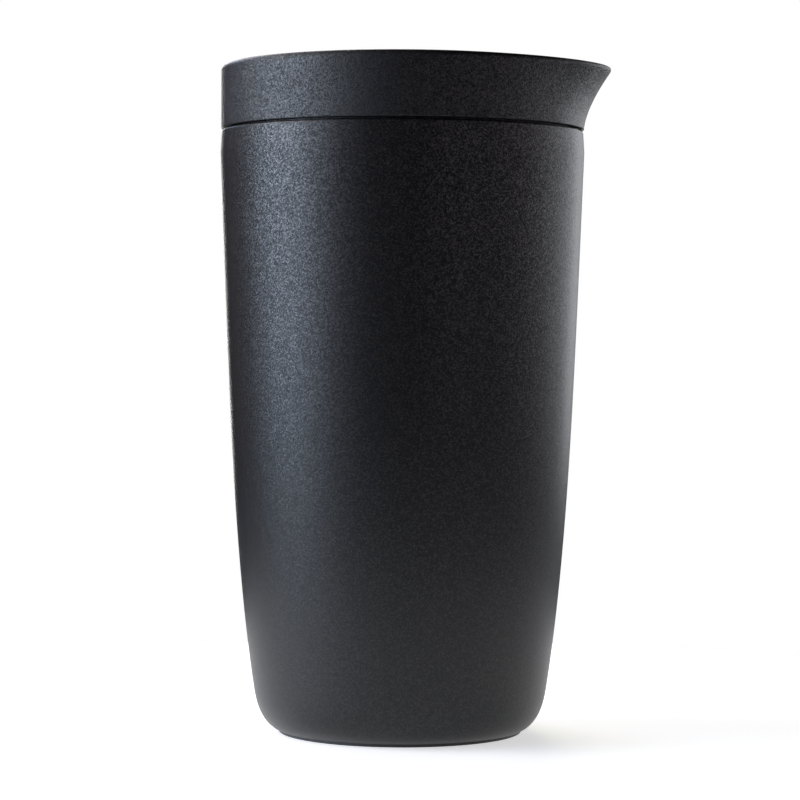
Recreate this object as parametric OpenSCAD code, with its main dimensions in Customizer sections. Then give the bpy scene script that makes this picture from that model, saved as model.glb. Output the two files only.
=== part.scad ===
// Double-wall French press: a tapered vacuum vessel, a push-in pouring lid with a
// beak in its collar, and a plunger whose knob sinks flush into the lid.
// +Z is up, the beak points along +X, and the origin is the centre of the foot.

/* [Vessel] */
// Widest outside diameter of the vessel
body_d = 96; // [80:0.5:120]
// Height of the vessel's mouth above the table
body_h = 158.5; // [125:0.5:200]
// How far each side leans in over its height, as a straight taper
taper = 5.87; // [3:0.01:7]
// How far each side curves in further towards the foot
belly = 5.35; // [3:0.05:6.5]
// Height of the rounded foot
foot_round_h = 12.6; // [8:0.1:16]
// Sheet thickness of both steel walls
sheet = 0.6; // [0.5:0.05:0.8]
// Vacuum left between the walls beside the brewing floor
vacuum_gap = 2.85; // [2:0.05:4]
// Width of the ring between the mouth and the outside
mouth_ring_w = 6.5; // [5:0.1:8]
// Height of the brewing floor above the table
floor_h = 12.6; // [10:0.1:16]
// Radius of the corner round the brewing floor
floor_corner_r = 5; // [3:0.5:7]
// Radius of the vessel's top edge
shoulder_r = 0.8; // [0.8:0.1:1.6]

/* [Foot] */
// How far the foot pad stands below the shell
pad_proud = 0.75; // [0.5:0.05:1]
// Width of the shell's turned-in lip under the foot
lip_w = 3; // [2:0.5:5]

/* [Lid] */
// Height of the collar that shows above the vessel
collar_h = 16.5; // [13:0.05:20]
// Shadow gap between the collar and the vessel
seam_gap = 0.45; // [0.4:0.05:0.9]
// Wall of the collar
collar_wall = 3; // [2.4:0.1:3.6]
// How far the beak reaches past the collar
beak_reach = 7.8; // [5:0.1:10]
// Angle from the beak's tip to where it leaves the round collar
beak_spread = 65; // [50:1:75]
// How far the plug goes down into the mouth
plug_depth = 13; // [11:0.1:16]
// Thickness of the lid's deck
deck_t = 1.8; // [1.5:0.1:2.4]
// Width of the pouring slot, from the middle outwards
slot_w = 8; // [6:0.5:9]
// Angle from the middle of the pouring slot to each end
slot_spread = 20; // [15:1:26]

/* [Plunger] */
// Diameter of the plunger rod
rod_d = 5; // [4:0.1:6]
// Diameter of the knob
knob_d = 41; // [34:0.5:50]
// Room under the filter for the ground coffee
grounds_h = 14; // [10:0.5:18]
// Wire coil's own diameter round the filter's edge
coil_d = 2.6; // [2.2:0.1:3.2]
// Sheet thickness of the two filter plates
plate_t = 0.6; // [0.5:0.05:0.8]

/* [Fits] */
// Radial gap of a running fit
run = 0.05; // [0.03:0.01:0.08]
// Radial gap between the plug and the mouth
plug_clear = 0.6; // [0.4:0.05:0.9]
// Gap between parts that come to rest on each other
rest_gap = 0.1; // [0.05:0.05:0.2]

/* [Hidden] */
$fn = 96;

body_r = body_d / 2;

// Outside of the vessel: widest at side_top, rolling in a little above it, and leaning in below it.
side_top = body_h - 5.7;
side_power = 4.1;
shoulder_roll = 0.3;
roll_steps = 4;
side_steps = 30;
arc_steps = 10;

// Foot of the vessel: a squarish curve that would reach foot_flat_r at foot_low, cut off at the pad.
foot_flat_r = 28;
foot_low = 0.14;
foot_power = 2.88;
foot_steps = 16;
foot_end = asin(pow((foot_round_h - pad_proud) / (foot_round_h - foot_low), foot_power / 2));
foot_r = foot_curve(foot_end)[0];
opening_r = foot_r - lip_w;

// Inside of the vessel.
bore_r = side_at(floor_h + floor_corner_r) - vacuum_gap - 2 * sheet;
mouth_r = body_r - mouth_ring_w;
mouth_depth = plug_depth + 1;
mouth_cone_h = 4;
bore_top = body_h - mouth_depth - mouth_cone_h;

// Base cup, its dimple and what is in the vacuum.
cup_z = pad_proud + sheet;
cup_r = foot_r - 0.4;
dimple_r = 6;
dimple_h = 1.6;
bead_r = 3;
bead_t = 1.2;
getter_r = 5;
getter_h = 3;
getter_x = 16;
pad_r = foot_r - 0.3;
pad_groove_r = 24;
pad_groove_w = 1.6;
pad_groove_h = 0.4;

// Collar of the lid.
collar_r = body_r - 0.15;
collar_z = body_h + seam_gap;
rim_z = collar_z + collar_h;
rim_round = 1.4;
seat_z = body_h + rest_gap;
deck_z = seat_z + 2;
deck_top = deck_z + deck_t;
ledge_w = 2.6;
skirt_w = 2.4;
beak_round = 0.27;
beak_power = 2;
flare_power = 1.55;

// Plug of the lid, its gasket groove and the pouring duct.
plug_r = mouth_r - plug_clear;
plug_z = body_h - plug_depth;
plug_wall = 4.3;
plug_floor_t = 1.8;
plug_chamfer = 1.5;
groove_z = plug_z + 3.5;
groove_h = 5;
groove_r = plug_r - 2.3;
slot_r = plug_r - plug_wall - 0.6 - slot_w / 2;
duct_wall = 1.5;
strainer_t = 0.5;
strainer_lap = 1;
strainer_hole_r = 0.8;
strainer_pitch = 2.7;

// Boss in the deck, which holds the bush and the wiper that the rod slides in.
rod_r = rod_d / 2;
boss_r = rod_r + 5.5;
boss_top = deck_top + 2;
boss_bottom = deck_z - 4.6;
pocket_r = rod_r + 2.95;
pocket_z = boss_bottom + 1.5;
rod_clear = 0.7;
wiper_h = 1.8;
cap_t = 1.2;
cap_skirt_h = 1.4;
cap_r = boss_r + 1;

// Knob, which stands on the deck when the plunger is down.
knob_r = knob_d / 2;
knob_z = deck_top + 0.3;
knob_top = rim_z - 0.5;
knob_cap_t = 3.5;
knob_split = knob_top - knob_cap_t;
knob_foot_r = knob_r - 5.5;
knob_waist_r = knob_r - 7.5;
knob_recess_r = cap_r + 1.2;
knob_recess_top = boss_top + cap_t + 0.4;
spigot_r = knob_waist_r - 1;
spigot_h = 1;
insert_r = rod_r + 2;
insert_top = knob_split - spigot_h;

// Filter, from the nut under it to the stop on top of it.
filter_z = floor_h + grounds_h;
nut_r = rod_r + 3.5;
nut_flange_r = rod_r + 6.5;
nut_flange_t = 1.2;
nut_h = 5;
cross_z = filter_z + nut_h;
cross_t = plate_t + 0.2;
cross_r = bore_r - 6;
mesh_z = cross_z + cross_t;
mesh_t = 0.25;
mesh_r = bore_r - run;
plate_z = mesh_z + mesh_t;
coil_r = coil_d / 2;
coil_ring_r = mesh_r - mesh_t - coil_r;
coil_z = plate_z + coil_r;
brim_z = plate_z + coil_d + rest_gap;
brim_r = mesh_r - 0.7;
brim_in_r = coil_ring_r - coil_r - rest_gap;
brim_top = brim_z + plate_t;
stop_z = plate_z + plate_t;
stop_h = (plug_z - bore_top) + (brim_top - stop_z);
stop_r = rod_r + 2.5;
rod_z = filter_z - 0.5;
rod_top = insert_top - 0.2;

// Points along an arc in the plane of a section, from angle a to angle b.
function arc(x, y, r, a, b, steps = arc_steps) =
    [for (i = [0:steps]) let (t = a + (b - a) * i / steps) [x + r * cos(t), y + r * sin(t)]];

// Radius of the vessel's side at the height z, up to side_top.
function side_at(z) = let (s = (side_top - z) / side_top) body_r - taper * s - belly * pow(s, side_power);

// Point of the foot's curve: on the side at t = 0, and lower the larger t is.
function foot_curve(t) =
    let (z = foot_low + (foot_round_h - foot_low) * (1 - pow(sin(t), 2 / foot_power)))
    [foot_flat_r + (side_at(z) - foot_flat_r) * pow(cos(t), 2 / foot_power), z];

// The same point, set in by the distance d at right angles to the curve.
function foot_inset(t, d) =
    let (
        p = foot_curve(t),
        along = foot_curve(t + 0.5) - foot_curve(max(0, t - 0.5))
    )
    p + d / norm(along) * [along[1], -along[0]];

// Section of the vessel's outside from the foot to the mouth, set in by the distance d.
function shell_side(d) =
    let (
        foot = [for (i = [foot_steps:-1:0]) foot_inset(i * foot_end / foot_steps, d)],
        roll_h = body_h - shoulder_r - side_top,
        top_r = body_r - shoulder_roll
    )
    concat(
        [for (p = foot) if (d == 0 || p[1] > pad_proud + sheet + 0.02) p],
        [for (i = [1:side_steps]) let (z = foot_round_h + i * (side_top - foot_round_h) / side_steps)
            [side_at(z) - d, z]],
        [for (i = [1:roll_steps - 1]) let (u = i / roll_steps)
            [body_r - shoulder_roll * pow(u, 1.2) - d, side_top + u * roll_h]],
        arc(top_r - shoulder_r, body_h - shoulder_r, shoulder_r - d, 0, 90)
    );

// How much of the beak there is at an angle from its tip, from 1 at the tip to 0 where it ends.
function beak_share(angle) =
    let (
        u = min(1, abs(angle) / beak_spread),
        far = sqrt(1 + pow(beak_round, 2)),
        here = sqrt(pow(u, 2) + pow(beak_round, 2))
    )
    pow(max(0, (far - here) / (far - beak_round)), beak_power);

// How much of the beak there is at a height, from 0 at z0 to 1 at the rim.
function flare(z, z0) = pow(max(0, min(1, (z - z0) / (rim_z - z0))), flare_power);

// Angles round the collar: close together over the beak, wider apart behind it.
collar_angles = concat(
    [for (i = [-16:15]) i * beak_spread / 16],
    [for (i = [0:49]) beak_spread + i * (360 - 2 * beak_spread) / 50]
);

// Outline of a slot that curves round the axis: radius of its middle, half width, half angle.
function slot_outline(r, half_w, half_a) = concat(
    [for (i = [0:10]) let (t = -half_a + i * half_a / 5) (r + half_w) * [cos(t), sin(t)]],
    [for (i = [1:7]) let (t = half_a + i * 22.5) r * [cos(half_a), sin(half_a)] + half_w * [cos(t), sin(t)]],
    [for (i = [0:10]) let (t = half_a - i * half_a / 5) (r - half_w) * [cos(t), sin(t)]],
    [for (i = [1:7]) let (t = 180 - half_a + i * 22.5) r * [cos(half_a), -sin(half_a)] + half_w * [cos(t), sin(t)]]
);

module turned(points) {
    rotate_extrude() polygon(points);
}

module tube(outer_r, inner_r, z, h) {
    translate([0, 0, z]) difference() {
        cylinder(r = outer_r, h = h);
        translate([0, 0, -1]) cylinder(r = inner_r, h = h + 2);
    }
}

module ring_of_holes(count, at_r, hole_r, z, h) {
    for (i = [0:count - 1]) rotate([0, 0, i * 360 / count])
        translate([at_r, 0, z]) cylinder(r = hole_r, h = h);
}

module slot_prism(half_w, z, h) {
    translate([0, 0, z]) linear_extrude(h) polygon(slot_outline(slot_r, half_w, slot_spread));
}

// ---- Vessel ----

module outer_shell() {
    outside = shell_side(0);
    inside = shell_side(sheet);
    color("#26282b") turned(concat(
        [[opening_r, pad_proud]],
        outside,
        [[mouth_r + sheet, body_h], [mouth_r + sheet, body_h - sheet]],
        [for (i = [len(inside) - 1:-1:0]) inside[i]],
        [[foot_r - 0.15, pad_proud + sheet], [opening_r, pad_proud + sheet]]
    ));
}

module inner_liner() {
    corner_x = bore_r - floor_corner_r;
    corner_z = floor_h + floor_corner_r;
    color("#b9bcc0") turned(concat(
        [[0, floor_h - sheet]],
        arc(corner_x, corner_z, floor_corner_r + sheet, -90, 0),
        [
            [bore_r + sheet, bore_top], [mouth_r + sheet, bore_top + mouth_cone_h],
            [mouth_r + sheet, body_h], [mouth_r, body_h],
            [mouth_r, bore_top + mouth_cone_h], [bore_r, bore_top]
        ],
        arc(corner_x, corner_z, floor_corner_r, 0, -90),
        [[0, floor_h]]
    ));
}

module base_cup() {
    color("#a9acb0") turned([
        [0, cup_z + dimple_h], [dimple_r, cup_z + dimple_h], [dimple_r + dimple_h, cup_z], [cup_r, cup_z],
        [cup_r, cup_z + sheet], [dimple_r + dimple_h, cup_z + sheet], [dimple_r, cup_z + dimple_h + sheet],
        [0, cup_z + dimple_h + sheet]
    ]);
}

module vacuum_bead() {
    color("#6d7a5c") translate([0, 0, cup_z + dimple_h - bead_t]) cylinder(r1 = bead_r - 0.6, r2 = bead_r, h = bead_t);
}

module getter() {
    color("#8d8f92") translate([getter_x, 0, cup_z + sheet]) cylinder(r = getter_r, h = getter_h);
}

module foot_pad() {
    color("#1b1b1c") difference() {
        turned([
            [0, 0], [pad_r - 0.3, 0], [pad_r, 0.3], [pad_r, pad_proud],
            [opening_r - 0.15, pad_proud], [opening_r - 0.15, cup_z], [0, cup_z]
        ]);
        tube(pad_groove_r, pad_groove_r - pad_groove_w, -1, 1 + pad_groove_h);
    }
}

// ---- Lid ----

module lid_gasket() {
    in_r = groove_r + run;
    base_r = plug_r - 0.6;
    lip_r = mouth_r - run;
    z0 = groove_z + rest_gap;
    lip_t = 0.9;
    lip_zs = [z0 + 0.7, z0 + 3.2];
    color("#303133") turned(concat(
        [[in_r, z0], [base_r, z0]],
        [for (z = lip_zs) each [[base_r, z], [lip_r, z + 0.5], [lip_r, z + lip_t], [base_r, z + lip_t]]],
        [[base_r, groove_z + groove_h - rest_gap], [in_r, groove_z + groove_h - rest_gap]]
    ));
}

// Each point of the collar's section is a radius, a height and a share of the beak.
module lid_collar() {
    in_r = collar_r - collar_wall;
    top = rim_z - rim_round;
    outer_zs = [for (i = [1:7]) collar_z + 0.2 + i * (top - collar_z - 0.2) / 8];
    inner_zs = [for (i = [6:-1:0]) deck_top + i * (top - deck_top) / 7];
    section = concat(
        [[collar_r - skirt_w, collar_z, 0], [collar_r - 0.2, collar_z, 0], [collar_r, collar_z + 0.2, 0]],
        [for (z = outer_zs) [collar_r, z, flare(z, collar_z)]],
        [for (p = arc(collar_r - rim_round, top, rim_round, 0, 90, 5)) [p[0], p[1], flare(p[1], collar_z)]],
        [for (p = arc(in_r + rim_round, top, rim_round, 90, 180, 5)) [p[0], p[1], flare(p[1], deck_top)]],
        [for (z = inner_zs) [in_r, z, flare(z, deck_top)]],
        [
            [in_r, deck_z, 0], [in_r - ledge_w, deck_z, 0],
            [in_r - ledge_w, seat_z, 0], [collar_r - skirt_w, seat_z, 0]
        ]
    );
    m = len(section);
    n = len(collar_angles);
    points = [for (p = section) for (a = collar_angles)
        let (r = p[0] + p[2] * beak_reach * beak_share(a > 180 ? a - 360 : a)) [r * cos(a), r * sin(a), p[1]]];
    faces = [for (i = [0:m - 1]) for (j = [0:n - 1])
        let (a = i * n, b = ((i + 1) % m) * n, k = (j + 1) % n) each [
            [a + j, b + j, b + k],
            [a + j, b + k, a + k]
        ]];
    color("#232426") polyhedron(points, faces);
}

module lid_deck() {
    deck_r = collar_r - collar_wall - run;
    color("#232426") difference() {
        union() {
            translate([0, 0, deck_z]) cylinder(r = deck_r, h = deck_t);
            translate([0, 0, boss_bottom]) cylinder(r = boss_r, h = boss_top - boss_bottom);
        }
        translate([0, 0, pocket_z]) cylinder(r = pocket_r, h = boss_top - pocket_z + 1);
        translate([0, 0, boss_bottom - 1]) cylinder(r = rod_r + rod_clear, h = pocket_z - boss_bottom + 2);
        slot_prism(slot_w / 2, deck_z - 1, deck_t + 2);
        slot_prism(slot_w / 2 + strainer_lap + run, deck_top - strainer_t, strainer_t + 1);
    }
}

module lid_plug() {
    in_r = plug_r - plug_wall;
    color("#232426") difference() {
        union() {
            turned([
                [0, plug_z], [plug_r - plug_chamfer, plug_z], [plug_r, plug_z + plug_chamfer],
                [plug_r, groove_z], [groove_r, groove_z], [groove_r, groove_z + groove_h],
                [plug_r, groove_z + groove_h], [plug_r, deck_z], [in_r, deck_z],
                [in_r, plug_z + plug_floor_t], [0, plug_z + plug_floor_t]
            ]);
            translate([0, 0, plug_z]) cylinder(r = boss_r, h = boss_bottom - plug_z);
            slot_prism(slot_w / 2 + duct_wall, plug_z, deck_z - plug_z);
        }
        translate([0, 0, plug_z - 1]) cylinder(r = rod_r + rod_clear, h = boss_bottom - plug_z + 2);
        slot_prism(slot_w / 2, plug_z - 1, deck_z - plug_z + 2);
    }
}

module pour_strainer() {
    rows = floor((slot_w / 2 - strainer_hole_r) / strainer_pitch);
    color("#b4b7bb") difference() {
        slot_prism(slot_w / 2 + strainer_lap, deck_top - strainer_t, strainer_t);
        for (row = [-rows:rows]) {
            at_r = slot_r + row * strainer_pitch;
            step = strainer_pitch * 360 / (2 * PI * at_r);
            half = floor(slot_spread / step);
            for (i = [-half:half]) rotate([0, 0, i * step])
                translate([at_r, 0, deck_top - strainer_t - 1]) cylinder(r = strainer_hole_r, h = strainer_t + 2);
        }
    }
}

module bush_cap() {
    color("#232426") turned([
        [rod_r + rod_clear, boss_top], [boss_r + run, boss_top], [boss_r + run, boss_top - cap_skirt_h],
        [cap_r, boss_top - cap_skirt_h], [cap_r, boss_top + cap_t - 0.4], [cap_r - 0.4, boss_top + cap_t],
        [rod_r + rod_clear, boss_top + cap_t]
    ]);
}

// ---- Bush and wiper, which turn with the rod ----

module rod_bush() {
    z = pocket_z + wiper_h + 2 * rest_gap;
    color("#e4e2da") tube(pocket_r - run, rod_r + run, z, boss_top - rest_gap - z);
}

module rod_wiper() {
    color("#303133") tube(pocket_r - run, rod_r + run, pocket_z + rest_gap, wiper_h);
}

// ---- Plunger ----

module knob_cap() {
    edge = 1;
    crown = 0.5;
    color("#232426") turned(concat(
        [[0, knob_split - spigot_h], [spigot_r - run, knob_split - spigot_h], [spigot_r - run, knob_split]],
        [[knob_r - 0.3, knob_split], [knob_r, knob_split + 0.3]],
        arc(knob_r - edge, knob_top - crown - edge, edge, 0, 80, 5),
        [for (i = [8:-1:0]) let (u = i / 8 * 0.93) [knob_r * u, knob_top - crown * u * u]]
    ));
}

module knob_body() {
    waist_z = knob_z + (knob_split - knob_z) * 0.42;
    color("#232426") difference() {
        turned(concat(
            [[0, knob_z], [knob_foot_r - 0.4, knob_z], [knob_foot_r, knob_z + 0.4]],
            [for (i = [0:6]) let (t = i / 6 * 90)
                [knob_waist_r + (knob_foot_r - knob_waist_r) * (1 - sin(t)),
                 knob_z + 0.8 + (waist_z - knob_z - 0.8) * (1 - cos(t))]],
            [for (i = [1:8]) let (t = i / 8 * 90)
                [knob_waist_r + (knob_r - 0.8 - knob_waist_r) * (1 - cos(t)),
                 waist_z + (knob_split - 0.6 - waist_z) * sin(t)]],
            [[knob_r - 0.5, knob_split], [0, knob_split]]
        ));
        translate([0, 0, knob_z - 1]) cylinder(r = knob_recess_r, h = knob_recess_top - knob_z + 1);
        translate([0, 0, knob_z - 1]) cylinder(r = insert_r, h = knob_split - knob_z + 2);
        translate([0, 0, insert_top]) cylinder(r = spigot_r, h = spigot_h + 1);
    }
}

module knob_insert() {
    color("#b08d4f") tube(insert_r, rod_r, knob_recess_top + 0.2, insert_top - knob_recess_top - 0.2);
}

module rod() {
    tip = 0.5;
    color("#c3c6ca") turned([
        [0, rod_z], [rod_r - tip, rod_z], [rod_r, rod_z + tip],
        [rod_r, rod_top - tip], [rod_r - tip, rod_top], [0, rod_top]
    ]);
}

module rod_stop() {
    edge = 0.8;
    color("#b4b7bb") turned([
        [rod_r, stop_z], [stop_r, stop_z], [stop_r, stop_z + stop_h - edge],
        [stop_r - edge, stop_z + stop_h], [rod_r, stop_z + stop_h]
    ]);
}

module spring_plate() {
    step_r = brim_in_r - plate_t;
    color("#b4b7bb") difference() {
        turned([
            [rod_r, plate_z], [step_r, plate_z], [step_r + plate_t, plate_z], [brim_in_r, brim_z],
            [brim_r, brim_z], [brim_r, brim_top], [step_r, brim_top], [step_r, plate_z + plate_t],
            [rod_r, plate_z + plate_t]
        ]);
        ring_of_holes(10, bore_r * 0.62, bore_r * 0.11, plate_z - 1, plate_t + 2);
        ring_of_holes(6, bore_r * 0.35, bore_r * 0.07, plate_z - 1, plate_t + 2);
    }
}

module edge_spring() {
    color("#c3c6ca") translate([0, 0, coil_z]) rotate_extrude() translate([coil_ring_r, 0]) circle(r = coil_r);
}

module mesh_screen() {
    color("#9b9ea2") turned([
        [rod_r, mesh_z], [mesh_r, mesh_z], [mesh_r, brim_z], [mesh_r - mesh_t, brim_z],
        [mesh_r - mesh_t, mesh_z + mesh_t], [rod_r, mesh_z + mesh_t]
    ]);
}

module cross_plate() {
    lip_h = 1.4;
    color("#b4b7bb") difference() {
        turned([
            [rod_r, cross_z], [cross_r - cross_t, cross_z], [cross_r - cross_t, cross_z + cross_t - lip_h],
            [cross_r, cross_z + cross_t - lip_h], [cross_r, mesh_z], [rod_r, mesh_z]
        ]);
        ring_of_holes(12, cross_r * 0.76, cross_r * 0.12, cross_z - 1, cross_t + 2);
        ring_of_holes(6, cross_r * 0.46, cross_r * 0.11, cross_z - 1, cross_t + 2);
    }
}

module hub_nut() {
    color("#b4b7bb") difference() {
        union() {
            translate([0, 0, filter_z]) cylinder(r = nut_r, h = nut_h, $fn = 6);
            translate([0, 0, cross_z - nut_flange_t]) cylinder(r = nut_flange_r, h = nut_flange_t);
        }
        translate([0, 0, filter_z - 1]) cylinder(r = rod_r, h = nut_h + 2);
    }
}

outer_shell();
inner_liner();
base_cup();
vacuum_bead();
getter();
foot_pad();
lid_gasket();
lid_collar();
lid_deck();
lid_plug();
pour_strainer();
bush_cap();
rod_bush();
rod_wiper();
knob_cap();
knob_body();
knob_insert();
rod();
rod_stop();
spring_plate();
edge_spring();
mesh_screen();
cross_plate();
hub_nut();
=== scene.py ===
import math

import bpy
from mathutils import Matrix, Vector


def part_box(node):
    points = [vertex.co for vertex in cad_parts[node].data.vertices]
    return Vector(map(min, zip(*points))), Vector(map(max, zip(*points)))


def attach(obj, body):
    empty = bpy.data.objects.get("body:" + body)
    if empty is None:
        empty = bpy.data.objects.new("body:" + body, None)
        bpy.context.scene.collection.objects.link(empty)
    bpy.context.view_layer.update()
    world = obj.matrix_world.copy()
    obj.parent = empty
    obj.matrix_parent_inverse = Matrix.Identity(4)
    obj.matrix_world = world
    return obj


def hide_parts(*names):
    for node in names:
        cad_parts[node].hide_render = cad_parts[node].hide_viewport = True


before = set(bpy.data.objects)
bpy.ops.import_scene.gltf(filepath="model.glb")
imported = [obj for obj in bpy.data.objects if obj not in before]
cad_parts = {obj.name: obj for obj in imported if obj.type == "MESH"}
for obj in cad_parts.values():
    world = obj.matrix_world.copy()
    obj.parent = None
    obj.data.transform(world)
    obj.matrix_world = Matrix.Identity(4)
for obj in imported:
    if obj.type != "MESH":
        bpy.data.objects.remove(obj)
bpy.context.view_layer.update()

# ---------------------------------------------------------------------------
# The press as a whole. It stands on the table with its vessel's axis upright
# and its pouring beak along +X. Every piece is built round that axis.
# ---------------------------------------------------------------------------
MM = 0.001
AXIS = (0, 0, 0)


def span(part):
    """Lowest height, highest height and outer radius of a round part, in millimetres."""
    low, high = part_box(part)
    return low[2] / MM, high[2] / MM, high[1] / MM


# ---------------------------------------------------------------------------
# The view: a long lens a little below the lid's rim, so that the inside of the
# lid stays hidden behind its near edge.
# ---------------------------------------------------------------------------
# Where the lens is, how far it looks down, and how much it leans, in degrees.
LENS_AT, LOOK_DOWN, LEAN = (0.00019, -0.7361, 0.10294), 1.19, math.degrees(0.00455)
SENSOR_WIDTH, FOCAL_LENGTH, SHIFT = 36, 125.1135, -0.0025
bpy.ops.object.select_all(action="DESELECT")
bpy.ops.object.camera_add(location=LENS_AT, rotation=(math.radians(90 - LOOK_DOWN), 0, 0))
camera = bpy.context.object
camera.name = "camera"
camera.rotation_euler.rotate_axis("Z", math.radians(LEAN))
camera.data.sensor_width = SENSOR_WIDTH
camera.data.lens = FOCAL_LENGTH
camera.data.shift_x = SHIFT
camera.data.clip_start = 0.01
bpy.context.scene.camera = camera

# ---------------------------------------------------------------------------
# The table: a round sheet of white acrylic, lit evenly from below so that shadows
# stay pale. It throws soft light up at the lower part of the vessel.
# ---------------------------------------------------------------------------


def linear(hex_colour):
    """An sRGB hex colour as linear red, green, blue and alpha."""
    values = [int(hex_colour[i : i + 2], 16) / 255 for i in (1, 3, 5)]
    return [v / 12.92 if v <= 0.04045 else ((v + 0.055) / 1.055) ** 2.4 for v in values] + [1.0]


def finish(name, colour, roughness, metallic=0.0, **sockets):
    """A material whose shader has these values. Returns the material and its shader."""
    made = bpy.data.materials.new(name)
    made.use_nodes = True
    shader = made.node_tree.nodes["Principled BSDF"]
    shader.inputs["Base Color"].default_value = linear(colour)
    shader.inputs["Roughness"].default_value = roughness
    shader.inputs["Metallic"].default_value = metallic
    for socket, value in sockets.items():
        shader.inputs[socket.replace("_", " ")].default_value = value
    return made, shader


def wear(piece, material):
    """Gives a piece one material all over."""
    piece.data.materials.clear()
    piece.data.materials.append(material)


TABLE_R, GLOW = 0.22, 0.55
bpy.ops.object.select_all(action="DESELECT")
bpy.ops.mesh.primitive_circle_add(vertices=128, radius=TABLE_R, fill_type="NGON", location=AXIS)
table = bpy.context.object
table.name = "table"
wear(table, finish("backlit_white_acrylic", "#EDEDED", 0.9, 0.0, Emission_Strength=GLOW)[0])

# ---------------------------------------------------------------------------
# The studio: a white surround that only the lens sees, two rings of upright strip
# lamps that are strongest at the left and behind, and a soft box above at the left.
# ---------------------------------------------------------------------------
world = bpy.data.worlds.new("studio")
bpy.context.scene.world = world
world.use_nodes = True
world.node_tree.nodes["Background"].inputs["Color"].default_value = (1, 1, 1, 1)
world.node_tree.nodes["Background"].inputs["Strength"].default_value = 1.0
world.cycles_visibility.diffuse = False
world.cycles_visibility.glossy = False


def soft_box(name, bearing, reach, height, width, tall, power, tint, aim=0.09):
    """A rectangular lamp: its bearing in degrees from the lens, positive to the left."""
    turn = math.radians(bearing)
    place = Vector((-reach * math.sin(turn), -reach * math.cos(turn), height))
    bpy.ops.object.light_add(type="AREA", location=place)
    lamp = bpy.context.object
    lamp.name = name
    lamp.data.shape = "RECTANGLE"
    lamp.data.size = width
    lamp.data.size_y = tall
    lamp.data.energy = power
    lamp.data.color = linear(tint)[:3]
    lamp.rotation_euler = (Vector((0, 0, aim)) - place).to_track_quat("-Z", "Y").to_euler()


# Strip lamps stand in two rings, one above the other: bearing, power in watts, tint.
# Powers and tints are fitted, so that the tones over the press come near the photo's.
RING_R, LOW_RING, HIGH_RING, STRIP_WIDTH, STRIP_TALL = 1.0, 0.25, 0.75, 0.22, 0.5
LOW_LAMPS = (
    (-180, 3.66, "#FFFFE0"), (-168, 0.25, "#FFFFFF"), (-156, 0.20, "#FFFFFF"),
    (-144, 1.27, "#F5F9FF"), (-132, 0.21, "#FFFFFF"), (-120, 0.76, "#F1F6FF"),
    (-108, 0.41, "#FAFCFF"), (-96, 0.32, "#FFF0FC"), (-84, 0.22, "#FFF6FA"),
    (-72, 0.20, "#F6ECFF"), (-60, 0.16, "#FFF7FE"), (-48, 0.18, "#FEF3FF"), (-36, 0.22, "#F8F2FF"),
    (-24, 0.18, "#FFECF6"), (0, 0.11, "#FFDEE1"), (24, 0.07, "#FFCBDC"), (36, 0.11, "#F6E2FF"),
    (48, 0.71, "#ECEBFF"), (60, 2.32, "#DBEAFF"), (72, 3.71, "#DAE9FF"), (84, 3.09, "#D6E8FF"),
    (96, 1.04, "#D8E9FF"), (108, 0.15, "#FFEFFB"), (132, 0.07, "#FFC8AF"), (168, 3.19, "#FFFDFA"),
)
HIGH_LAMPS = (
    (72, 0.50, "#FFFFFF"), (84, 2.30, "#FFFAF7"), (96, 2.42, "#FFFFFF"), (108, 0.73, "#E2E2FF"),
    (120, 0.23, "#FFFFFF"), (132, 0.25, "#FFFFFF"), (144, 1.87, "#B9D7FF"), (156, 2.09, "#FFEAF4"),
    (168, 0.45, "#FFFFFF"),
)
for height, lamps in ((LOW_RING, LOW_LAMPS), (HIGH_RING, HIGH_LAMPS)):
    for bearing, power, tint in lamps:
        name = f"strip_{bearing}_{height}"
        soft_box(name, bearing, RING_R, height, STRIP_WIDTH, STRIP_TALL, power, tint)
soft_box("top_left", 90, 0.7, 1.1, 0.5, 0.5, 1.30, "#FFE9E4", aim=0.05)

bpy.context.scene.view_settings.view_transform = "Standard"

# ---------------------------------------------------------------------------
# Outer wall of the vessel: deep-drawn stainless steel, spun in towards the foot,
# and powder-coated black. The coat is satin, with a fine sandy grain.
# ---------------------------------------------------------------------------


WELD = 0.002 * MM


def traced(name, points):
    """Draws a closed outline of points in millimetres, and stays in edit mode.

    A small plane is merged to one point, which is then drawn along from point to point.
    """
    bpy.ops.object.select_all(action="DESELECT")
    bpy.ops.mesh.primitive_plane_add(size=2 * MM, location=[value * MM for value in points[0]])
    piece = bpy.context.object
    piece.name = name
    bpy.ops.object.mode_set(mode="EDIT")
    bpy.ops.mesh.select_all(action="SELECT")
    bpy.ops.mesh.merge(type="CENTER")
    last = points[0]
    for point in points[1:] + points[:1]:
        step = [(now - before) * MM for now, before in zip(point, last)]
        bpy.ops.mesh.extrude_region_move(TRANSFORM_OT_translate={"value": step})
        last = point
    bpy.ops.mesh.select_all(action="SELECT")
    bpy.ops.mesh.remove_doubles(threshold=WELD)
    bpy.ops.mesh.select_all(action="SELECT")
    return piece


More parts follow.
